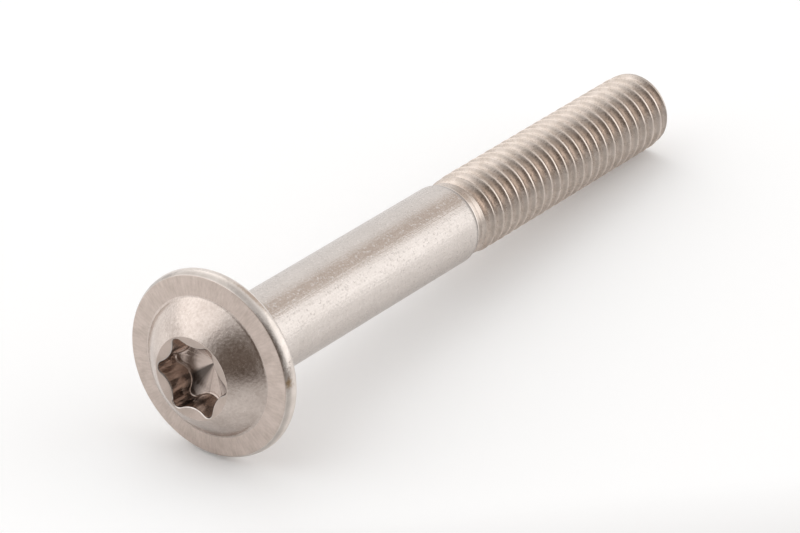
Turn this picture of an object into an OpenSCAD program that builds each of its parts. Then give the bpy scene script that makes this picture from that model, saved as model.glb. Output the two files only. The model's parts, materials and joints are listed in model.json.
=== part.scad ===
// Flanged button head screw with a six-lobed socket, a plain shank and a rolled metric thread.
// It lies on its side as it comes to rest, on the flange's rim and the last full turn of thread.
// The origin is the middle of the bearing face under the flange, on the screw's own axis.

/* [Head] */
// Height of the head, from the bearing face to the rim of the recess round the socket
head_h = 3.0; // [2.7:0.05:3.6]
// Diameter of the dome where it meets the flange
dome_d = 9.8; // [9:0.1:11]

/* [Flange] */
// Largest diameter of the flange, at the crown of its rounded rim
flange_d = 13.25; // [12.5:0.05:15]
// Thickness of the flange at its front edge
flange_t = 1.15; // [1:0.05:1.4]
// Height of the rim's crown above the bearing face
crown_h = 0.45; // [0.3:0.05:0.6]
// Radius of the rounded rim, seen in section
rim_r = 1.05; // [1:0.05:1.4]
// Rise of the flange's front face from its edge to the dome
face_rise = 0.12; // [0.05:0.01:0.25]
// Radius of the hollow round where the dome meets the flange
crease_r = 0.25; // [0.1:0.05:0.5]

/* [Socket] */
// Diameter across the tips of the six lobes
socket_d = 5.65; // [5.2:0.05:5.8]
// Diameter across the ridges between the lobes
ridge_d = 4.25; // [3.9:0.05:4.4]
// Radius of each lobe's tip
lobe_r = 0.45; // [0.35:0.05:0.5]
// Depth of the socket at the tips of its lobes, from the rim of the recess
socket_depth = 1.8; // [1.4:0.05:2.1]
// Included angle of the sloping floor of the lobes
lobe_angle = 128; // [110:2:160]
// Included angle of the pointed floor between them
floor_angle = 156; // [140:2:174]
// Diameter of the shallow recess round the mouth
sink_d = 5.95; // [5.85:0.05:6.2]
// Included angle of the recess
sink_angle = 158; // [130:2:170]
// Turn of the socket about the screw's axis
socket_turn = 27.8; // [0:0.2:60]

/* [Shank] */
// Diameter of the plain shank
shank_d = 5.86; // [5.7:0.02:6.2]
// Length of the plain shank, from the bearing face to the shoulder
shank_l = 25.3; // [10:0.1:40]
// Radius of the fillet under the head
fillet_r = 0.3; // [0.1:0.05:0.5]
// Radius of the rounded shoulder at the shank's end
shoulder_r = 0.2; // [0.1:0.05:0.5]

/* [Thread] */
// Length of the thread, from the shoulder to the tip, with its run-out
thread_l = 24.2; // [8:0.1:40]
// Outside diameter over the thread's crests
thread_d = 5.9; // [5.75:0.02:6.2]
// Advance of the thread in one turn
pitch = 1.0; // [0.75:0.05:1.25]
// Diameter of the neck from which the thread was rolled
neck_d = 5.54; // [5.3:0.02:5.6]
// Length of the plain neck behind the shoulder
neck_l = 0.3; // [0.25:0.05:0.8]
// Length over which the first groove runs out to the neck
run_out = 0.9; // [0.6:0.1:2.5]
// Diameter of the flat end of the tip
tip_d = 5.3; // [4.4:0.1:5.6]
// Length of the tip's chamfer
tip_l = 1.3; // [0.6:0.1:2]
// Turn of the thread about the screw's axis
thread_turn = 112.5; // [0:2.5:360]

/* [Hidden] */

// Facets of round surfaces, and of one turn of the thread
$fn = 96;
turn_steps = 36;
// How far a piece runs on into its neighbour, so that the two join
overlap = 0.2;

flange_r = flange_d / 2;
dome_r = dome_d / 2;
shank_r = shank_d / 2;
thread_r = thread_d / 2;
neck_r = neck_d / 2;
length = shank_l + thread_l;

// The rim's round has its centre at this radius, and meets the front face at edge_r
rim_middle = flange_r - rim_r;
edge_r = rim_middle + sqrt(rim_r ^ 2 - (flange_t - crown_h) ^ 2);

// The dome is part of a ball that passes through its foot on the flange and the recess's rim
dome_foot = flange_t + face_rise;
dome_rise = head_h - dome_foot;
sink_r = sink_d / 2;
ball_drop = (dome_r ^ 2 - sink_r ^ 2 - dome_rise ^ 2) / (2 * dome_rise);
ball_r = sqrt(dome_r ^ 2 + ball_drop ^ 2);

// The round in the crease touches the flange's front face and the dome, which sets its middle
dome_middle = [0, ball_drop - dome_foot];
crease_foot = [dome_r, -dome_foot];
face_run = [edge_r - dome_r, face_rise] / norm([edge_r - dome_r, face_rise]);
face_out = [face_run[1], -face_run[0]];
crease_reach = crease_foot + crease_r * face_out - dome_middle;
crease_gap = sqrt((crease_reach * face_run) ^ 2 - crease_reach * crease_reach + (ball_r + crease_r) ^ 2)
    - crease_reach * face_run;
crease_middle = crease_foot + crease_r * face_out + crease_gap * face_run;

// The ridge arcs of the socket are tangent to the lobe arcs, which sets their radius
lobe_middle = socket_d / 2 - lobe_r;
ridge_gain = lobe_middle * cos(30);
ridge_r = (lobe_r ^ 2 - lobe_middle ^ 2 - (ridge_d / 2) ^ 2 + ridge_gain * ridge_d)
    / (ridge_d - 2 * (ridge_gain + lobe_r));
ridge_middle = ridge_d / 2 + ridge_r;
// Half the angle that a lobe's arc and a ridge's arc turn through
lobe_half = 30 + asin(lobe_middle * sin(30) / (lobe_r + ridge_r));
ridge_half = lobe_half - 30;
lobe_steps = 10;
ridge_steps = 6;

// Metric thread form: a 60 degree vee with a narrow flat crest and a wider root
vee_h = pitch * sqrt(3) / 2;
root_r = thread_r - 17 / 24 * vee_h;
crest_w = pitch / 8;
root_w = pitch / 4;
flank_w = (pitch - crest_w - root_w) / 2;

// At rest the rim's crown and the last full crest touch the floor, which sets the dip of the axis
crest_stop = length - tip_l;
rim_gain = rim_middle - thread_r;
rest_span = crest_stop + crown_h;
axis_dip = atan2(rim_gain, rest_span) + asin(rim_r / norm([rim_gain, rest_span]));

// Points along an arc, from one angle to another
function arc(middle, r, from, to, steps) =
    [for (i = [0:steps]) middle + r * [cos(from + (to - from) * i / steps), sin(from + (to - from) * i / steps)]];

// Half section of the flange, with its rounded rim between the bearing face and the front face
module flange_section() {
    front_slope = face_rise / (edge_r - dome_r);
    intersection() {
        union() {
            translate([rim_middle, -crown_h])
                circle(r = rim_r);
            translate([0, -dome_foot - overlap / 4])
                square([rim_middle, dome_foot + overlap]);
        }
        polygon([
            [0, 0],
            [flange_r + overlap, 0],
            [flange_r + overlap, -flange_t + front_slope * (flange_r + overlap - edge_r)],
            [dome_r, -dome_foot],
            [0, -dome_foot]
        ]);
    }
}

// Half section of the dome, cut off level with the recess's rim
module dome_section() {
    intersection() {
        translate(dome_middle)
            circle(r = ball_r);
        translate([0, -head_h])
            square([dome_r, dome_rise + overlap]);
    }
}

// Half section of the round that fills the crease between the dome and the flange
module crease_section() {
    difference() {
        polygon([
            crease_foot + overlap * [-1, 1],
            crease_middle - crease_r * face_out,
            crease_middle,
            dome_middle + (crease_middle - dome_middle) * ball_r / (ball_r + crease_r)
        ]);
        translate(crease_middle)
            circle(r = crease_r);
    }
}

// Half section of the plain shank, from inside the flange to the end of its neck
module shank_section() {
    shank_end = shank_l - shoulder_r;
    neck_foot = shank_l + neck_l;
    polygon(concat(
        [[0, -overlap], [shank_r + fillet_r, -overlap]],
        arc([shank_r + fillet_r, fillet_r], fillet_r, 270, 180, 6),
        arc([shank_r - shoulder_r, shank_end], shoulder_r, 0, acos(1 - (shank_r - neck_r) / shoulder_r), 5),
        [[neck_r, neck_foot], [0, neck_foot]]
    ));
}

// Outline of the six-lobed socket: round lobe tips joined by round ridges
module socket_outline() {
    polygon([
        for (k = [0:5], p = concat(
            arc([lobe_middle, 0], lobe_r, -lobe_half, lobe_half, lobe_steps),
            [for (i = [1:ridge_steps - 1]) ridge_point(i / ridge_steps)]
        )) turned(p, 60 * k)
    ]);
}

// A point turned about the middle, and a point along the ridge that follows the first lobe
function turned(p, angle) = [p[0] * cos(angle) - p[1] * sin(angle), p[0] * sin(angle) + p[1] * cos(angle)];
function ridge_point(share) =
    turned([ridge_middle - ridge_r * cos(ridge_half * (2 * share - 1)),
            ridge_r * sin(ridge_half * (2 * share - 1))], 30);

// The space of the socket: lobed wall, floor that slopes in the lobes and is pointed in the middle, shallow recess
module socket_space() {
    outer_r = socket_d / 2 + overlap;
    lobe_slope = 1 / tan(lobe_angle / 2);
    ridge_depth = socket_depth + (socket_d - ridge_d) / 2 * lobe_slope;
    point_depth = ridge_depth + ridge_d / 2 / tan(floor_angle / 2);
    sink_slope = 1 / tan(sink_angle / 2);
    translate([0, 0, -head_h]) {
        intersection() {
            rotate([0, 0, socket_turn])
                translate([0, 0, -overlap])
                    linear_extrude(height = point_depth + 2 * overlap)
                        socket_outline();
            rotate_extrude()
                polygon([
                    [0, -2 * overlap],
                    [outer_r, -2 * overlap],
                    [outer_r, socket_depth - overlap * lobe_slope],
                    [ridge_d / 2, ridge_depth],
                    [0, point_depth]
                ]);
        }
        translate([0, 0, -overlap * sink_slope])
            cylinder(r1 = sink_r + overlap, r2 = 0, h = (sink_r + overlap) * sink_slope);
    }
}

// Rows of the thread follow its helix: four to a turn, at both edges of the crest and of the root
row_r = [thread_r, thread_r, root_r, root_r];
row_z = [0, crest_w, crest_w + flank_w, crest_w + flank_w + root_w];
thread_start = shank_l + neck_l - overlap;
rod_r = neck_r - overlap / 5;
row_count = 4 * ceil((length - thread_start) / pitch + 2);

// Place along the axis of one point of a row, before the thread is cut off at its ends
function row_place(row, step) =
    thread_start + pitch * (floor(row / 4) - 1 + thread_turn / 360 - ceil(thread_turn / 360) + step / turn_steps)
    + row_z[row % 4];

// Radius there: it grows from the neck over the run-out, and the tip's chamfer limits it
function row_radius(row, place) =
    let (grown = min(1, max(0, (place - thread_start - overlap) / run_out)))
    let (chamfer_r = tip_d / 2 + (thread_r - tip_d / 2) * (length - place) / tip_l)
    min(chamfer_r, rod_r + (row_r[row % 4] - rod_r) * grown);

// Number of a point: the two end rings come first, then the rows
function point_number(row, step) =
    step == turn_steps ? point_number(row + 4, 0)
    : row_place(row, step) <= thread_start + 0.01 ? step
    : row_place(row, step) >= length - 0.01 ? turn_steps + step
    : 2 * turn_steps + row * turn_steps + step;

function ring_point(r, step, place) = [r * cos(360 * step / turn_steps), r * sin(360 * step / turn_steps), place];

// The threaded rod as one closed skin
module thread_rod() {
    steps = [0:turn_steps - 1];
    points = concat(
        [for (s = steps) ring_point(rod_r, s, thread_start)],
        [for (s = steps) ring_point(tip_d / 2, s, length)],
        [for (row = [0:row_count + 3], s = steps)
            let (place = row_place(row, s))
            ring_point(row_radius(row, place), s, place)]
    );
    skin = [
        for (row = [0:row_count - 1], s = steps)
            let (a = point_number(row, s), b = point_number(row + 1, s))
            let (c = point_number(row + 1, s + 1), d = point_number(row, s + 1))
            each [[a, b, c], [a, c, d]]
    ];
    polyhedron(points, concat(
        [for (t = skin) if (t[0] != t[1] && t[1] != t[2] && t[2] != t[0]) t],
        [[for (s = steps) s], [for (s = steps) 2 * turn_steps - 1 - s]]
    ));
}

// The whole screw upright on its head, with the bearing face at zero and the tip above it
module upright_screw() {
    difference() {
        rotate_extrude() {
            flange_section();
            dome_section();
            crease_section();
            shank_section();
        }
        socket_space();
    }
    thread_rod();
}

module screw() {
    color([0.78, 0.74, 0.70])
        rotate([0, 90 + axis_dip, 0])
            upright_screw();
}

screw();
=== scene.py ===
import json
import math
import random
import bpy
from mathutils import Matrix, Vector


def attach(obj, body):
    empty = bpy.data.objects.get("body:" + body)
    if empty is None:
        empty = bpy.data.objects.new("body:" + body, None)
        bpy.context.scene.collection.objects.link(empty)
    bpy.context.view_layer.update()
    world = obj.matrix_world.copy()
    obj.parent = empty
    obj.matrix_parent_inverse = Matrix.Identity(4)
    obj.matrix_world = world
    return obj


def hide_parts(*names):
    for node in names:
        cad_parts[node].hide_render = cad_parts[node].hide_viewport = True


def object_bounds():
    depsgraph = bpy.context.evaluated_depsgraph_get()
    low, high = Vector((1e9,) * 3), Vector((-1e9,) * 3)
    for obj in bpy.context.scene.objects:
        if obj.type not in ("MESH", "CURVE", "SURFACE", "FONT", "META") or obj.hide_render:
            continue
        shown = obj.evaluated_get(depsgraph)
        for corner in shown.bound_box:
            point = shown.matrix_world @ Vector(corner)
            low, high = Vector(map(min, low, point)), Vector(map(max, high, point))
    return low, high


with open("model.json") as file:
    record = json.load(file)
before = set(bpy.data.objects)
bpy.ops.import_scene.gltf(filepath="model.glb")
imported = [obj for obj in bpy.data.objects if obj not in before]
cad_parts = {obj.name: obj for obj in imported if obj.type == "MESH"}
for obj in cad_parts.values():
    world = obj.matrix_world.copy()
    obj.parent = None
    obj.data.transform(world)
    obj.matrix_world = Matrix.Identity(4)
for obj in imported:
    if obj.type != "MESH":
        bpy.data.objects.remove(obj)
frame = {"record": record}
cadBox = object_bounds()
mounts = {m["name"]: m for m in frame["record"]["mounts"]}
mm = 0.001  # the screw is worked out in millimetres along its own axis
screwAxis = Vector(mounts["shank"]["axis"])
axisTilt = math.atan2(screwAxis.x, screwAxis.z)  # turns the upright screw over into the frame
lieDown = Matrix.Rotation(axisTilt, 4, "Y")
shankRadius = mounts["shank"]["dims"]["r_mm"]
threadCrest = mounts["thread"]["dims"]["r_mm"] - 0.004
tipPlace = Vector(mounts["thread"]["pos_m"]).length / mm - 0.012
print("frame loaded, the axis dips", round(math.degrees(axisTilt) - 90, 2), "degrees")

# Screw stood on its head: bearing face at zero, head below it, tip above it
headForm = {
    "around": 144,  # points round the axis, a multiple of six
    "height": 2.992,
    "domeRadius": 4.9,
    "flangeRadius": 6.618,
    "flangeEdge": 1.14,  # thickness at the front edge
    "rimCrown": 0.45,  # height of the widest circle above the bearing face
    "rimRound": 1.05,
    "faceRise": 0.12,
    "creaseRound": 0.25,  # between the dome and the flange
    "edgeRound": 0.08,
    "underRound": 0.4,  # between the rim and the bearing face
    "underFillet": 0.3,
}
socketForm = {
    "mouth": (2.83, 2.2),  # radii at the lobes and at the ridges between them
    "foot": (2.8, 2.06),
    "lobeRound": 0.46,
    "depths": (1.8, 2.13, 2.6),  # at the lobes, the ridges and the middle
    "recessRadius": 2.97,
    "recessAngle": 158,
    "turn": 27.8,
    "offCentre": (0.1, -0.1),
    "mouthRound": 0.06,
    "footRound": 0.16,
}
shankForm = {
    "straight": 25.15,  # end of the plain part
    "shoulderRound": 0.7,
    "neckRadius": 2.72,
    "neckLength": 0.1,
}
threadForm = {
    "pitch": 1.0,
    "crestAt": 0.775,  # place of a crest at angle zero, as a share of the pitch
    "depth": 0.6134,
    "crestGrows": (25.7, 28.0),  # where the crest line leaves the neck, and where it is full
    "grooveGrows": (25.9, 26.9),
    "crestHalf": 0.085,  # half the crest's width, in pitches
    "veeAngle": 54,
    "crestRound": 0.07,  # how softly the crest's edges turn down, and the flanks into the root
    "rootRound": 0.1,
    "tipRadius": 2.78,
    "tipLength": 1.3,
    "nicks": 46,
    "nickDepth": 0.035,
    "seed": 11,
}
around = headForm["around"]
verts = []
faces = []
zones = []  # finish of each face


def smoothStep(low, high, x):
    t = min(1.0, max(0.0, (x - low) / (high - low)))
    return t * t * (3 - 2 * t)


def arcPoints(middle, radius, startDeg, endDeg, count):
    out = []
    for i in range(count + 1):
        a = math.radians(startDeg + (endDeg - startDeg) * i / count)
        out.append((middle[0] + radius * math.cos(a), middle[1] + radius * math.sin(a)))
    return out


# Round between two straight runs of a section, as points from one run to the other
def softCorner(before, corner, after, radius, count):
    c = Vector(corner)
    a = (Vector(before) - c).normalized()
    b = (Vector(after) - c).normalized()
    half = a.angle(b) / 2
    reach = radius / math.tan(half)
    middle = c + (a + b).normalized() * radius / math.sin(half)
    start = c + a * reach - middle
    end = c + b * reach - middle
    out = []
    for i in range(count + 1):
        out.append(tuple(middle + start.slerp(end, i / count) * radius))
    return out


# Six-lobed outline as points with their outward normals, in even steps on each arc
def socketOutline(lobe, ridge):
    lobeRound = socketForm["lobeRound"]
    lobeMiddle = lobe - lobeRound
    reach = lobeMiddle * math.cos(math.radians(30))
    ridgeRound = lobeRound ** 2 - lobeMiddle ** 2 - ridge ** 2 + 2 * reach * ridge
    ridgeRound = ridgeRound / (2 * (ridge - reach - lobeRound))
    ridgeHalf = math.degrees(math.asin(lobeMiddle * 0.5 / (lobeRound + ridgeRound)))
    lobeHalf = 30 + ridgeHalf
    onLobe = around // 12 + 2
    onRidge = around // 6 - onLobe
    cell = []
    for i in range(onLobe):
        a = math.radians(-lobeHalf + 2 * lobeHalf * i / onLobe)
        n = Vector((math.cos(a), math.sin(a)))
        cell.append((Vector((lobeMiddle, 0)) + n * lobeRound, n))
    turnRidge = Matrix.Rotation(math.radians(30), 2)
    for i in range(onRidge):
        a = math.radians(-ridgeHalf + 2 * ridgeHalf * i / onRidge)
        n = Vector((math.cos(a), -math.sin(a)))
        cell.append((turnRidge @ (Vector((ridge + ridgeRound, 0)) - n * ridgeRound), turnRidge @ n))
    out = []
    for k in range(6):
        turn = Matrix.Rotation(math.radians(60 * k + socketForm["turn"]), 2)
        out += [(turn @ p, turn @ n) for p, n in cell]
    return out


mouthLine = socketOutline(*socketForm["mouth"])
footLine = socketOutline(*socketForm["foot"])
startAngle = math.atan2(mouthLine[0][0].y, mouthLine[0][0].x)
evenAngles = [startAngle + 2 * math.pi * i / around for i in range(around)]
lobeAngles = []
for i in range(around):
    a = math.atan2(mouthLine[i][0].y, mouthLine[i][0].x)
    lobeAngles.append(a + 2 * math.pi * round((evenAngles[i] - a) / (2 * math.pi)))


def addRing(points):
    first = len(verts)
    verts.extend(points)
    return list(range(first, first + len(points)))


# Ring of one radius; as the share goes to one, its points leave the lobes' angles,
# and its centre leaves the socket's
def roundRing(radius, z, share=1.0):
    x, y = socketForm["offCentre"]
    pts = []
    for i in range(around):
        a = lobeAngles[i] + (evenAngles[i] - lobeAngles[i]) * share
        pts.append((radius * math.cos(a) + x * (1 - share), radius * math.sin(a) + y * (1 - share), z))
    return addRing(pts)


def joinRings(a, b, zone):
    for i in range(around):
        j = (i + 1) % around
        faces.append((a[i], a[j], b[j], b[i]))
        zones.append(zone)


# Socket from the middle of its pointed floor, up the lobed wall, to the shallow recess at its mouth
def buildSocket():
    s = socketForm
    top = -headForm["height"]
    atLobe, atRidge, atMiddle = s["depths"]
    lobe, ridge = s["foot"]
    recessSlope = 1 / math.tan(math.radians(s["recessAngle"] / 2))
    f = s["footRound"]
    e = s["mouthRound"]
    centre = Vector(s["offCentre"])

    def floorZ(r):
        if r < ridge:
            return top + atMiddle + (atRidge - atMiddle) * r / ridge
        return top + atRidge + (atLobe - atRidge) * (r - ridge) / (lobe - ridge)

    def recessZ(r):
        return top + (s["recessRadius"] - r) * recessSlope

    def socketRing(spots, zone):
        rings.append((addRing([(centre.x + q.x, centre.y + q.y, z) for q, z in spots]), zone))

    verts.append((centre.x, centre.y, floorZ(0)))
    rings = []
    for share in (0.12, 0.25, 0.4, 0.55, 0.68, 0.76, 0.84, 0.92):
        spots = [(p - n * f) * share for p, n in footLine]
        socketRing([(q, floorZ(q.length)) for q in spots], "socketFloor")
    for k in range(9):
        a = math.radians(90 * k / 8)
        spots = []
        for p, n in footLine:
            z = floorZ((p - n * f).length) - f * (1 - math.cos(a))
            spots.append((p - n * f * (1 - math.sin(a)), z))
        socketRing(spots, "socketFloor" if k < 5 else "socketWall")
    for k in range(1, 13):
        spots = []
        for (p, n), (q, m) in zip(footLine, mouthLine):
            low = floorZ((p - n * f).length) - f
            high = recessZ(q.length) + e
            spots.append((p + (q - p) * k / 12, low + (high - low) * k / 12))
        socketRing(spots, "socketWall")
    for k in range(1, 5):
        a = math.radians(90 * k / 4)
        spots = []
        for p, n in mouthLine:
            q = p + n * e * (1 - math.cos(a))
            spots.append((q, recessZ(q.length) + e * (1 - math.sin(a))))
        socketRing(spots, "mouthEdgePaintedGlint")
    for share in (0.25, 0.5, 0.75, 0.93):
        spots = []
        for i in range(around):
            inner = mouthLine[i][0] + mouthLine[i][1] * e
            outer = Vector((math.cos(lobeAngles[i]), math.sin(lobeAngles[i]))) * s["recessRadius"]
            q = inner + (outer - inner) * share
            spots.append((q, recessZ(q.length)))
        socketRing(spots, "mouth")
    first = rings[0][0]
    for i in range(around):
        faces.append((0, first[(i + 1) % around], first[i]))
        zones.append("socketFloor")
    for a, b in zip(rings, rings[1:]):
        joinRings(a[0], b[0], b[1])
    return rings[-1][0]


# Half section of the dome, the flange and the plain shank, from the mouth to the neck
def bodySection():
    h = headForm
    foot = h["flangeEdge"] + h["faceRise"]
    mouth = socketForm["recessRadius"]
    rise = h["height"] - foot
    drop = (h["domeRadius"] ** 2 - mouth ** 2 - rise ** 2) / (2 * rise)
    ball = math.hypot(h["domeRadius"], drop)
    fromDeg = -math.degrees(math.atan2(rise + drop, mouth))
    toDeg = -math.degrees(math.atan2(drop, h["domeRadius"]))
    crease = h["creaseRound"]
    spare = math.degrees(crease / math.tan(math.pi / 2 - math.radians(90 + toDeg) / 2) / ball)
    section = []
    dome = arcPoints((0, drop - foot), ball, fromDeg, toDeg - spare, 26)
    for r, z in dome[:-1]:
        section.append((r, z, "dome"))
    corner = (h["domeRadius"], -foot)
    for r, z in softCorner(dome[-1], corner, (h["flangeRadius"], -foot + h["faceRise"]), crease, 7):
        section.append((r, z, "dome"))

    rimMiddle = (h["flangeRadius"] - h["rimRound"], -h["rimCrown"])
    lift = h["flangeEdge"] - h["rimCrown"]
    edge = rimMiddle[0] + math.sqrt(h["rimRound"] ** 2 - lift ** 2)
    for share in (0.13, 0.2, 0.35, 0.5, 0.65, 0.8, 0.92):
        r = h["domeRadius"] + (edge - h["domeRadius"]) * share
        section.append((r, -foot + h["faceRise"] * share, "flange"))
    startDeg = -math.degrees(math.asin(lift / h["rimRound"]))
    under = h["underRound"]
    gap = h["rimCrown"] - under
    underMiddle = (rimMiddle[0] + math.sqrt((h["rimRound"] - under) ** 2 - gap ** 2), -under)
    turnDeg = math.degrees(math.atan2(gap, underMiddle[0] - rimMiddle[0]))
    rim = arcPoints(rimMiddle, h["rimRound"], startDeg, turnDeg, 18)
    face = (h["domeRadius"], -foot)
    for r, z in softCorner(face, rim[0], rim[1], h["edgeRound"], 3):
        section.append((r, z, "flange"))
    for r, z in rim[1:-1] + arcPoints(underMiddle, under, turnDeg, 90, 10):
        section.append((r, z, "rim"))

    fillet = h["underFillet"]
    inner = shankRadius + fillet
    for share in (0.3, 0.6, 0.9):
        section.append((underMiddle[0] + (inner - underMiddle[0]) * share, 0, "bearing"))
    for r, z in arcPoints((inner, fillet), fillet, 270, 180, 8):
        section.append((r, z, "bearing"))
    straight = shankForm["straight"]
    for i in range(1, 40):
        section.append((shankRadius, fillet + (straight - fillet) * i / 40, "shank"))
    shoulder = shankForm["shoulderRound"]
    neckDeg = math.degrees(math.acos(1 - (shankRadius - shankForm["neckRadius"]) / shoulder))
    for r, z in arcPoints((shankRadius - shoulder, straight), shoulder, 0, neckDeg, 12):
        section.append((r, z, "shank"))
    section.append((shankForm["neckRadius"], section[-1][1] + shankForm["neckLength"], "neck"))
    return section


# Rolled thread: radius at a place along the axis, by its distance from the crest in pitches
def threadRadius(z, fromCrest):
    t = threadForm
    grown = smoothStep(t["crestGrows"][0], t["crestGrows"][1], z)
    line = shankForm["neckRadius"] + (threadCrest - shankForm["neckRadius"]) * grown
    out = abs(fromCrest) - t["crestHalf"]
    out = (out + math.hypot(out, t["crestRound"])) / 2
    left = t["depth"] - out / math.tan(math.radians(t["veeAngle"] / 2))
    left = (left + math.hypot(left, t["rootRound"])) / 2
    depth = (t["depth"] - left) * t["pitch"]
    r = line - depth * smoothStep(t["grooveGrows"][0], t["grooveGrows"][1], z)
    into = max(0.0, (z - tipPlace + t["tipLength"]) / t["tipLength"])
    tip = t["tipRadius"] + (threadCrest - t["tipRadius"]) * (1 - into) ** 0.6
    return min(r, tip)


# Rows follow the helix, close together at the crest and wider down the flanks
crestRows = [-0.4, -0.3, -0.2, -0.13, -0.09, -0.06, -0.03, 0, 0.03, 0.06, 0.09, 0.13, 0.2, 0.3, 0.4]
crestRows += [0.44, 0.5, 0.56]


def buildThread(startRing, startZ):
    t = threadForm
    dice = random.Random(t["seed"])
    turns = int((tipPlace - startZ) / t["pitch"]) + 3
    perTurn = len(crestRows)
    nicks = []
    for k in range(t["nicks"]):
        deep = dice.uniform(0.3, 1) * t["nickDepth"]
        nicks.append((dice.uniform(2, turns - 2) * 360, dice.uniform(2.5, 8), deep))
    waves = []
    for k in range(14):
        waves.append((dice.uniform(0.4, 6), dice.uniform(0, 6.28), dice.uniform(0.001, 0.004)))
    endRing = roundRing(t["tipRadius"], tipPlace)
    firstTurn = math.floor(startZ / t["pitch"]) - 1
    made = {}

    def vertex(row, i):
        if i == around:
            row, i = row + perTurn, 0
        if (row, i) in made:
            return made[(row, i)]
        turn, at = divmod(row, perTurn)
        a = evenAngles[i]
        z = (firstTurn + turn + t["crestAt"] + a / (2 * math.pi) + crestRows[at]) * t["pitch"]
        if z <= startZ + 0.02:
            made[(row, i)] = startRing[i]
        elif z >= tipPlace - 0.02:
            made[(row, i)] = endRing[i]
        else:
            fromCrest = crestRows[at] - round(crestRows[at])
            r = threadRadius(z, fromCrest)
            along = turn * 360 + math.degrees(a)
            near = max(0.0, 1 - abs(fromCrest) / 0.12)
            for place, width, deep in nicks:
                r -= deep * near * math.exp(-((along - place) / width) ** 2)
            for speed, phase, size in waves:
                r -= size * near * (1 + math.sin(math.radians(along) * speed + phase)) / 2
            made[(row, i)] = len(verts)
            verts.append((r * math.cos(a), r * math.sin(a), z))
        return made[(row, i)]

    for row in range(perTurn * (turns + 1)):
        for i in range(around):
            corners = [vertex(row, i), vertex(row, i + 1), vertex(row + 1, i + 1), vertex(row + 1, i)]
            loop = list(dict.fromkeys(corners))
            if len(loop) >= 3:
                faces.append(tuple(loop))
                zones.append("thread")
    last = endRing
    for share in (0.96, 0.8, 0.5, 0.2):
        ring = roundRing(t["tipRadius"] * share, tipPlace)
        joinRings(last, ring, "tip")
        last = ring
    verts.append((0, 0, tipPlace))
    for i in range(around):
        faces.append((last[i], last[(i + 1) % around], len(verts) - 1))
        zones.append("tip")


def buildScrew():
    last = buildSocket()
    place = 0.0
    for r, z, zone in bodySection():
        share = 1.0
        if zone == "dome":
            share = min(1.0, (r - socketForm["recessRadius"]) / 1.8)
        ring = roundRing(r, z, share)
        joinRings(last, ring, zone)
        last = ring
        place = z
    buildThread(last, place)
    mesh = bpy.data.meshes.new("screwBody")
    mesh.from_pydata([lieDown @ (Vector(v) * mm) for v in verts], [], faces)
    screw = bpy.data.objects.new("screwBody", mesh)
    bpy.context.scene.collection.objects.link(screw)
    return screw


screwBody = buildScrew()
print("screw mesh made:", len(verts), "points,", len(faces), "faces")
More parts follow.
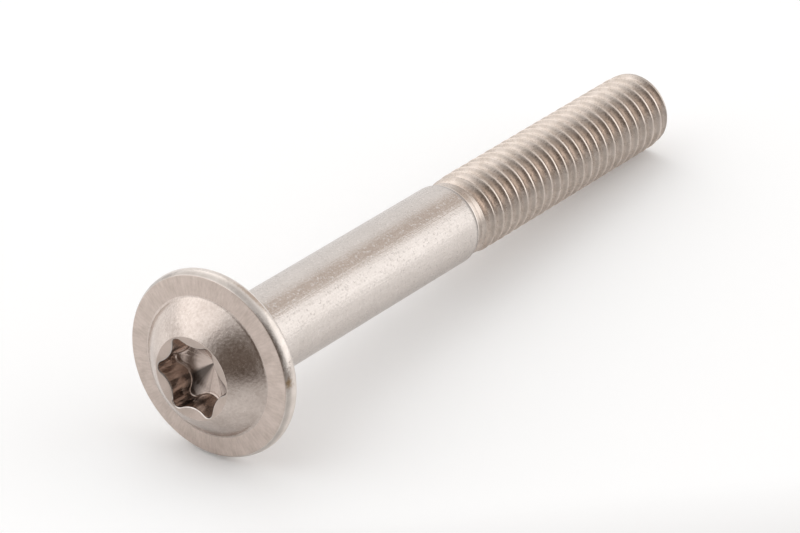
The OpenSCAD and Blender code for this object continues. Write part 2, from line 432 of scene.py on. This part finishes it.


# Finishes of the steel: two tones, a range of roughness, and what marks the surface;
# mottle is the fineness of the tones' patches, speckle the grain's share in them,
# grain its fineness and depth, streaks their way, count, slowness and depth,
# pits their fineness and depth, a painted fan is painted light and shade by the angle round the axis,
# painted shade bands are painted shade by the distance out from it or along it, edge is the tone at a
# grazing angle
finishes = {
    "socketFloor": {
        "light": (0.575, 0.48, 0.43),
        "dark": (0.515, 0.425, 0.38),
        "rough": (0.14, 0.22),
        "grain": (8, 0.001),
        "streak": ("across", 8, 0.2, 0.004),
        "turned": 0.5,
        # painted reflection: dark and light wedges fanning round the socket floor
        "paintedFan": [(0, 0.75), (9, 1), (20, 0.6), (30, 0.25), (50, 0.2), (60, 0.95), (200, 1), (305, 0.3),
                (340, 1)],
        "mottle": 1.2,
    },
    "socketWall": {
        "light": (0.67, 0.59, 0.545),
        "dark": (0.53, 0.465, 0.42),
        "rough": (0.12, 0.2),
        "grain": (7, 0.002),
        "streak": ("along", 20, 0.6, 0.006),
        "mottle": 1.4,
    },
    "mouth": {
        "light": (0.51, 0.425, 0.38),
        "dark": (0.43, 0.36, 0.315),
        "rough": (0.26, 0.36),
        "grain": (8, 0.002),
        "mottle": 1.0,
    },
    "dome": {
        "light": (0.665, 0.585, 0.535),
        "dark": (0.515, 0.44, 0.395),
        "rough": (0.19, 0.28),
        "grain": (5, 0.013),
        "speckle": 0.55,
        # painted light and shade in wedges round the dome
        "paintedFan": [(0, 0.86), (45, 0.85), (90, 0.96), (145, 1.12), (172, 1.1), (205, 0.93), (240, 1.05),
                (258, 0.82), (290, 0.88), (330, 0.85)],
        "mottle": 0.9,
    },
    "flange": {
        "light": (0.685, 0.585, 0.53),
        "dark": (0.515, 0.435, 0.385),
        "rough": (0.32, 0.42),
        "grain": (8, 0.002),
        "streak": ("across", 44, 1.6, 0.008),
        # painted light and shade in wedges round the flange
        "paintedFan": [(0, 0.98), (40, 0.88), (75, 0.91), (120, 0.94), (165, 0.98), (255, 1.01), (290, 0.93)],
        "mottle": 1.1,
    },
    "rim": {
        "light": (0.77, 0.7, 0.65),
        "dark": (0.63, 0.565, 0.515),
        "rough": (0.12, 0.22),
        "grain": (5, 0.016),
        # painted shade: a dark band along the rim just behind its front edge
        "paintedShadeBands": ("along", [(-1.15, 0.9), (-1.02, 0.64), (-0.86, 0.7), (-0.66, 1)]),
        "stain": {"at": (-1.0, -6.45, -0.95), "reach": 0.45, "colour": (0.3, 0.2, 0.11)},
        "mottle": 0.9,
    },
    "shank": {
        "light": (0.725, 0.665, 0.625),
        "dark": (0.61, 0.555, 0.515),
        "rough": (0.22, 0.28),
        "edge": 0.87,
        "grain": (6, 0.016),
        "streak": ("along", 40, 0.15, 0.012),
        "pits": (5, 0.016),
        "speckle": 0.45,
        # painted shade: the shank's rounded end darkens into the step at the neck
        "paintedShadeBands": ("along", [(25.1, 1), (25.3, 0.75), (25.45, 0.5), (25.7, 0.45)]),
        "mottle": 0.5,
    },
    "thread": {
        "light": (0.8, 0.7, 0.63),
        "dark": (0.62, 0.53, 0.46),
        "rough": (0.25, 0.35),
        "grain": (7, 0.012),
        "speckle": 0.4,
        # painted shade darker on the thread's upper flanks, and painted light and shade in wedges round
        # it
        "paintedShadeBands": ("out", [(2.3, 1), (2.6, 0.97), (2.74, 0.78), (2.85, 0.76), (2.9, 1)]),
        "paintedFan": [(0, 1.03), (170, 1.03), (187, 0.88), (198, 0.85), (214, 1.08), (230, 1.2), (243, 1.09),
                (255, 0.71), (270, 0.78), (295, 0.95), (340, 1.03)],
        "mottle": 1.6,
    },
}
# painted highlight: the neck band is painted lighter than the thread
finishes["neck"] = {**finishes["mouth"], "light": (0.8, 0.73, 0.68), "dark": (0.74, 0.67, 0.62)}
# painted glint: the mouth's rounded edge is painted bright, and its fan keeps the bright part to one side
finishes["mouthEdgePaintedGlint"] = {
    "light": (0.85, 0.8, 0.76),
    "dark": (0.6, 0.54, 0.5),
    "rough": (0.14, 0.24),
    "grain": (6, 0.01),
    "paintedFan": [(0, 1), (35, 0.9), (60, 0.55), (300, 0.55), (335, 1)],
    "mottle": 2.5,
}
finishes["bearing"] = {**finishes["flange"], "paintedFan": [(0, 1)]}
finishes["tip"] = {**finishes["mouth"], "light": (0.72, 0.64, 0.58), "dark": (0.62, 0.54, 0.48)}


def addNode(tree, kind, **settings):
    node = tree.nodes.new(kind)
    for key, value in settings.items():
        setattr(node, key, value)
    return node


def noiseOver(tree, vector, scale, detail):
    noise = addNode(tree, "ShaderNodeTexNoise")
    noise.inputs["Scale"].default_value = scale
    noise.inputs["Detail"].default_value = detail
    tree.links.new(vector, noise.inputs["Vector"])
    return noise.outputs["Fac"]


def mapTo(tree, value, fromRange, toRange):
    node = addNode(tree, "ShaderNodeMapRange")
    node.inputs["From Min"].default_value, node.inputs["From Max"].default_value = fromRange
    node.inputs["To Min"].default_value, node.inputs["To Max"].default_value = toRange
    tree.links.new(value, node.inputs["Value"])
    return node.outputs["Result"]


def averageOf(tree, a, b, share):
    mix = addNode(tree, "ShaderNodeMix")
    mix.inputs["Factor"].default_value = share
    tree.links.new(a, mix.inputs["A"])
    tree.links.new(b, mix.inputs["B"])
    return mix.outputs["Result"]


def twoTones(tree, drive, first, second, low=0.0, high=1.0):
    ramp = addNode(tree, "ShaderNodeValToRGB")
    ramp.color_ramp.elements[0].position = low
    ramp.color_ramp.elements[0].color = (*first, 1)
    ramp.color_ramp.elements[1].position = high
    ramp.color_ramp.elements[1].color = (*second, 1)
    tree.links.new(drive, ramp.inputs["Fac"])
    return ramp.outputs["Color"]


# Streaks change quickly round the axis, and slowly along it or out from it
def streakVector(tree, place, way, count, slow):
    flat = addNode(tree, "ShaderNodeVectorMath", operation="MULTIPLY")
    flat.inputs[1].default_value = (1, 1, 0)
    tree.links.new(place, flat.inputs[0])
    turn = addNode(tree, "ShaderNodeVectorMath", operation="NORMALIZE")
    tree.links.new(flat.outputs[0], turn.inputs[0])
    wide = addNode(tree, "ShaderNodeVectorMath", operation="SCALE")
    wide.inputs["Scale"].default_value = count
    tree.links.new(turn.outputs[0], wide.inputs[0])
    run = addNode(tree, "ShaderNodeSeparateXYZ")
    tree.links.new(wide.outputs[0], run.inputs[0])
    length = addNode(tree, "ShaderNodeMath", operation="MULTIPLY")
    length.inputs[1].default_value = slow
    if way == "along":
        split = addNode(tree, "ShaderNodeSeparateXYZ")
        tree.links.new(place, split.inputs[0])
        tree.links.new(split.outputs["Z"], length.inputs[0])
    else:
        reach = addNode(tree, "ShaderNodeVectorMath", operation="LENGTH")
        tree.links.new(flat.outputs[0], reach.inputs[0])
        tree.links.new(reach.outputs["Value"], length.inputs[0])
    joined = addNode(tree, "ShaderNodeCombineXYZ")
    tree.links.new(run.outputs["X"], joined.inputs["X"])
    tree.links.new(run.outputs["Y"], joined.inputs["Y"])
    tree.links.new(length.outputs[0], joined.inputs["Z"])
    return joined.outputs[0]


def addBump(tree, height, depth, below):
    bump = addNode(tree, "ShaderNodeBump")
    bump.inputs["Strength"].default_value = 1.0
    bump.inputs["Distance"].default_value = depth * mm
    tree.links.new(height, bump.inputs["Height"])
    if below:
        tree.links.new(below, bump.inputs["Normal"])
    return bump.outputs["Normal"]


# A patch with a ragged edge
def addStain(tree, place, grain, tone, stain):
    far = addNode(tree, "ShaderNodeVectorMath", operation="DISTANCE")
    far.inputs[1].default_value = stain["at"]
    tree.links.new(place, far.inputs[0])
    ragged = addNode(tree, "ShaderNodeMath", operation="MULTIPLY_ADD")
    ragged.inputs[1].default_value = stain["reach"] * 2
    tree.links.new(grain, ragged.inputs[0])
    tree.links.new(far.outputs["Value"], ragged.inputs[2])
    share = mapTo(tree, ragged.outputs[0], (stain["reach"] * 2, stain["reach"] * 1.2), (0, 0.85))
    mix = addNode(tree, "ShaderNodeMix", data_type="RGBA")
    tree.links.new(share, mix.inputs["Factor"])
    tree.links.new(tone, mix.inputs[6])
    mix.inputs[7].default_value = (*stain["colour"], 1)
    return mix.outputs[2]


# Tone times a shade that is set at stops from zero to one
def shadedBy(tree, share, tone, stops):
    ramp = addNode(tree, "ShaderNodeValToRGB")
    ramp.color_ramp.elements.remove(ramp.color_ramp.elements[1])
    for k, (place, shade) in enumerate(stops):
        stop = ramp.color_ramp.elements.new(place) if k else ramp.color_ramp.elements[0]
        stop.color = (shade, shade, shade, 1)
    tree.links.new(share, ramp.inputs["Fac"])
    mix = addNode(tree, "ShaderNodeMix", data_type="RGBA", blend_type="MULTIPLY")
    mix.inputs["Factor"].default_value = 1
    tree.links.new(tone, mix.inputs[6])
    tree.links.new(ramp.outputs["Color"], mix.inputs[7])
    return mix.outputs[2]


# Painted light and shade in wedges round the axis, by their angle in degrees
def addPaintedFan(tree, place, tone, paintedFan):
    split = addNode(tree, "ShaderNodeSeparateXYZ")
    tree.links.new(place, split.inputs[0])
    turn = addNode(tree, "ShaderNodeMath", operation="ARCTAN2")
    tree.links.new(split.outputs["Y"], turn.inputs[0])
    tree.links.new(split.outputs["X"], turn.inputs[1])
    whole = addNode(tree, "ShaderNodeMath", operation="FLOORED_MODULO")
    whole.inputs[1].default_value = 2 * math.pi
    tree.links.new(turn.outputs[0], whole.inputs[0])
    share = mapTo(tree, whole.outputs[0], (0, 2 * math.pi), (0, 1))
    return shadedBy(tree, share, tone, [(angle / 360, shade) for angle, shade in paintedFan])


# Painted shade by the distance out from the axis, or along it
def addPaintedShadeBands(tree, place, tone, way, paintedShadeBands):
    if way == "along":
        split = addNode(tree, "ShaderNodeSeparateXYZ")
        tree.links.new(place, split.inputs[0])
        measure = split.outputs["Z"]
    else:
        flat = addNode(tree, "ShaderNodeVectorMath", operation="MULTIPLY")
        flat.inputs[1].default_value = (1, 1, 0)
        tree.links.new(place, flat.inputs[0])
        reach = addNode(tree, "ShaderNodeVectorMath", operation="LENGTH")
        tree.links.new(flat.outputs[0], reach.inputs[0])
        measure = reach.outputs["Value"]
    low, high = paintedShadeBands[0][0], paintedShadeBands[-1][0]
    share = mapTo(tree, measure, (low, high), (0, 1))
    return shadedBy(tree, share, tone, [((r - low) / (high - low), shade) for r, shade in paintedShadeBands])


# Direction straight out from the axis; the marks of turning run across it
def outwardWay(tree, spot):
    along = addNode(tree, "ShaderNodeVectorMath", operation="PROJECT")
    along.inputs[1].default_value = screwAxis
    tree.links.new(spot, along.inputs[0])
    out = addNode(tree, "ShaderNodeVectorMath", operation="SUBTRACT")
    tree.links.new(spot, out.inputs[0])
    tree.links.new(along.outputs[0], out.inputs[1])
    return out.outputs[0]


def makeFinish(name, look):
    material = bpy.data.materials.new(name + "Steel")
    material.use_nodes = True
    tree = material.node_tree
    steel = tree.nodes["Principled BSDF"]
    steel.inputs["Metallic"].default_value = 1.0
    where = addNode(tree, "ShaderNodeTexCoord")
    upright = addNode(tree, "ShaderNodeMapping")
    upright.inputs["Scale"].default_value = (1 / mm, 1 / mm, 1 / mm)
    upright.inputs["Rotation"].default_value = (0, -axisTilt, 0)
    tree.links.new(where.outputs["Object"], upright.inputs["Vector"])
    place = upright.outputs["Vector"]

    grain = noiseOver(tree, place, look["grain"][0], 4)
    normal = addBump(tree, grain, look["grain"][1], None)
    toneDrive = noiseOver(tree, place, look["mottle"], 5)
    if "streak" in look:
        way, count, slow, depth = look["streak"]
        streak = noiseOver(tree, streakVector(tree, place, way, count, slow), 1, 3)
        normal = addBump(tree, streak, depth, normal)
        toneDrive = averageOf(tree, toneDrive, streak, 0.5)
    toneDrive = averageOf(tree, toneDrive, grain, look.get("speckle", 0.2))
    if "pits" in look:
        pits = mapTo(tree, noiseOver(tree, place, look["pits"][0], 2), (0.6, 0.72), (1, 0))
        normal = addBump(tree, pits, look["pits"][1], normal)
    tree.links.new(normal, steel.inputs["Normal"])

    tone = twoTones(tree, toneDrive, look["dark"], look["light"], 0.35, 0.62)
    # painted light and shade by the angle round the axis
    if "paintedFan" in look:
        tone = addPaintedFan(tree, place, tone, look["paintedFan"])
    # painted shade in bands out from the axis or along it
    if "paintedShadeBands" in look:
        tone = addPaintedShadeBands(tree, place, tone, *look["paintedShadeBands"])
    if "stain" in look:
        tone = addStain(tree, place, grain, tone, look["stain"])
    tree.links.new(tone, steel.inputs["Base Color"])
    if "turned" in look:
        steel.inputs["Anisotropic"].default_value = look["turned"]
        tree.links.new(outwardWay(tree, where.outputs["Object"]), steel.inputs["Tangent"])
    tree.links.new(mapTo(tree, grain, (0.3, 0.7), look["rough"]), steel.inputs["Roughness"])
    steel.inputs["Specular Tint"].default_value = (*[look.get("edge", 1)] * 3, 1)
    return material


finishNames = list(finishes)
for name in finishNames:
    screwBody.data.materials.append(makeFinish(name, finishes[name]))
screwBody.data.polygons.foreach_set("material_index", [finishNames.index(z) for z in zones])
screwBody.data.polygons.foreach_set("use_smooth", [True] * len(faces))
screwBody.data.set_sharp_from_angle(angle=math.radians(28))
screwBody.data.update()
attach(screwBody, "root")
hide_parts("screw")
print("finishes laid on:", ", ".join(finishNames))


# Pale floor in a white tent that is open on the camera's side, with a soft box at the left and the right;
# directions go round from the tip's side, heights are above the floor
floorLook = {
    "front": 0.12,
    "back": 0.45,
    "side": 0.4,
    "pale": (0.94, 0.94, 0.94),
    "paintedShadeRound": 226,  # painted shade: the floor is painted darker on this side, between these distances from the head
    "fade": (0.01, 0.045),
    "paintedShadeTone": (0.32, 0.29, 0.27),
    "rough": 0.8,
    # painted light: the floor glows faintly, which lightens its shadows
    "glow": 0.08,
}
tentLook = {
    "glow": 0.97,
    "opening": (215, 12),
    "openingReach": (20, 58),
    "openingColour": (0.16, 0.13, 0.11),
    "seam": (357, 40),
    "seamReach": (6, 24),
    "seamColour": (0.66, 0.58, 0.52),
}
softBoxes = {
    "leftBox": {"round": 105, "height": 47, "size": (1.0, 0.58), "glow": 0.4},
    "rightBox": {"round": 303, "height": 12, "size": (0.55, 0.7), "glow": 0.42},
}
boxesAway = 0.5
viewRound = 216.18  # side that the camera looks from


def unitWay(roundDeg, heightDeg):
    a = math.radians(roundDeg)
    h = math.radians(heightDeg)
    return Vector((math.cos(a) * math.cos(h), math.sin(a) * math.cos(h), math.sin(h)))


# The floor runs off into the tent's opening, below the picture's edge
def buildFloor():
    low = cadBox[0].z - 0.003 * mm
    front = unitWay(viewRound, 0)
    side = Vector((-front.y, front.x, 0))
    corners = []
    for a, b in ((1, -1), (1, 1), (-1, 1), (-1, -1)):
        reach = floorLook["front"] if a > 0 else -floorLook["back"]
        spot = front * reach + side * b * floorLook["side"]
        corners.append((spot.x, spot.y, low))
    mesh = bpy.data.meshes.new("paleFloor")
    mesh.from_pydata(corners, [], [(0, 1, 2, 3)])
    floor = bpy.data.objects.new("paleFloor", mesh)
    bpy.context.scene.collection.objects.link(floor)
    paint = bpy.data.materials.new("paleFloorPaint")
    paint.use_nodes = True
    tree = paint.node_tree
    shader = tree.nodes["Principled BSDF"]
    where = addNode(tree, "ShaderNodeTexCoord")
    # painted shade: the floor is darker on the camera's side
    nearness = addNode(tree, "ShaderNodeVectorMath", operation="DOT_PRODUCT")
    nearness.inputs[1].default_value = unitWay(floorLook["paintedShadeRound"], 0)
    tree.links.new(where.outputs["Object"], nearness.inputs[0])
    fade = mapTo(tree, nearness.outputs["Value"], floorLook["fade"], (0, 1))
    tone = twoTones(tree, fade, floorLook["pale"], floorLook["paintedShadeTone"])
    tree.links.new(tone, shader.inputs["Base Color"])
    shader.inputs["Roughness"].default_value = floorLook["rough"]
    shader.inputs["Specular IOR Level"].default_value = 0.1
    # painted light: the floor's faint glow
    shader.inputs["Emission Color"].default_value = (1, 1, 1, 1)
    shader.inputs["Emission Strength"].default_value = floorLook["glow"]
    mesh.materials.append(paint)
    return floor


# How far a direction lies inside a round patch of the tent, with a soft edge
def insidePatch(tree, way, middle, reach):
    dot = addNode(tree, "ShaderNodeVectorMath", operation="DOT_PRODUCT")
    dot.inputs[1].default_value = unitWay(*middle)
    tree.links.new(way, dot.inputs[0])
    edge = addNode(tree, "ShaderNodeMapRange", interpolation_type="SMOOTHSTEP")
    edge.inputs["From Min"].default_value = math.cos(math.radians(reach[1]))
    edge.inputs["From Max"].default_value = math.cos(math.radians(reach[0]))
    tree.links.new(dot.outputs["Value"], edge.inputs["Value"])
    return edge.outputs["Result"]


def buildTent():
    t = tentLook
    world = bpy.data.worlds.new("tent")
    world.use_nodes = True
    tree = world.node_tree
    sky = tree.nodes["Background"]
    where = addNode(tree, "ShaderNodeTexCoord")
    way = where.outputs["Generated"]
    seam = insidePatch(tree, way, t["seam"], t["seamReach"])
    opening = insidePatch(tree, way, t["opening"], t["openingReach"])
    mix = addNode(tree, "ShaderNodeMix", data_type="RGBA")
    tree.links.new(opening, mix.inputs["Factor"])
    tree.links.new(twoTones(tree, seam, (1, 1, 1), t["seamColour"]), mix.inputs[6])
    mix.inputs[7].default_value = (*t["openingColour"], 1)
    tree.links.new(mix.outputs[2], sky.inputs["Color"])
    sky.inputs["Strength"].default_value = t["glow"]
    bpy.context.scene.world = world


def aimAt(thing, spot, target):
    thing.location = spot
    thing.rotation_euler = (Vector(target) - Vector(spot)).to_track_quat("-Z", "Y").to_euler()


def buildLights(middle):
    for name, box in softBoxes.items():
        lamp = bpy.data.lights.new(name, "AREA")
        lamp.shape = "RECTANGLE"
        lamp.size, lamp.size_y = box["size"]
        lamp.energy = box["glow"] * math.pi * lamp.size * lamp.size_y
        holder = bpy.data.objects.new(name, lamp)
        bpy.context.scene.collection.objects.link(holder)
        aimAt(holder, middle + unitWay(box["round"], box["height"]) * boxesAway, middle)


# The photographer's stand: a long lens from the head's side, a little above the screw
cameraStand = {"target": (0.010363, -0.007131, 0.004636), "height": 31.5, "away": 0.302, "lens": 206.7}


def buildCamera():
    c = cameraStand
    camera = bpy.data.objects.new("camera", bpy.data.cameras.new("camera"))
    bpy.context.scene.collection.objects.link(camera)
    camera.data.lens = c["lens"]
    camera.data.sensor_width = 36
    camera.data.clip_start = 0.01
    camera.data.dof.use_dof = False
    aimAt(camera, Vector(c["target"]) + unitWay(viewRound, c["height"]) * c["away"], c["target"])
    bpy.context.scene.camera = camera


buildFloor()
buildTent()
buildLights(Vector((0.012, 0, 0)))
buildCamera()
bpy.context.scene.view_settings.view_transform = "Standard"
print("floor, lights and camera set")
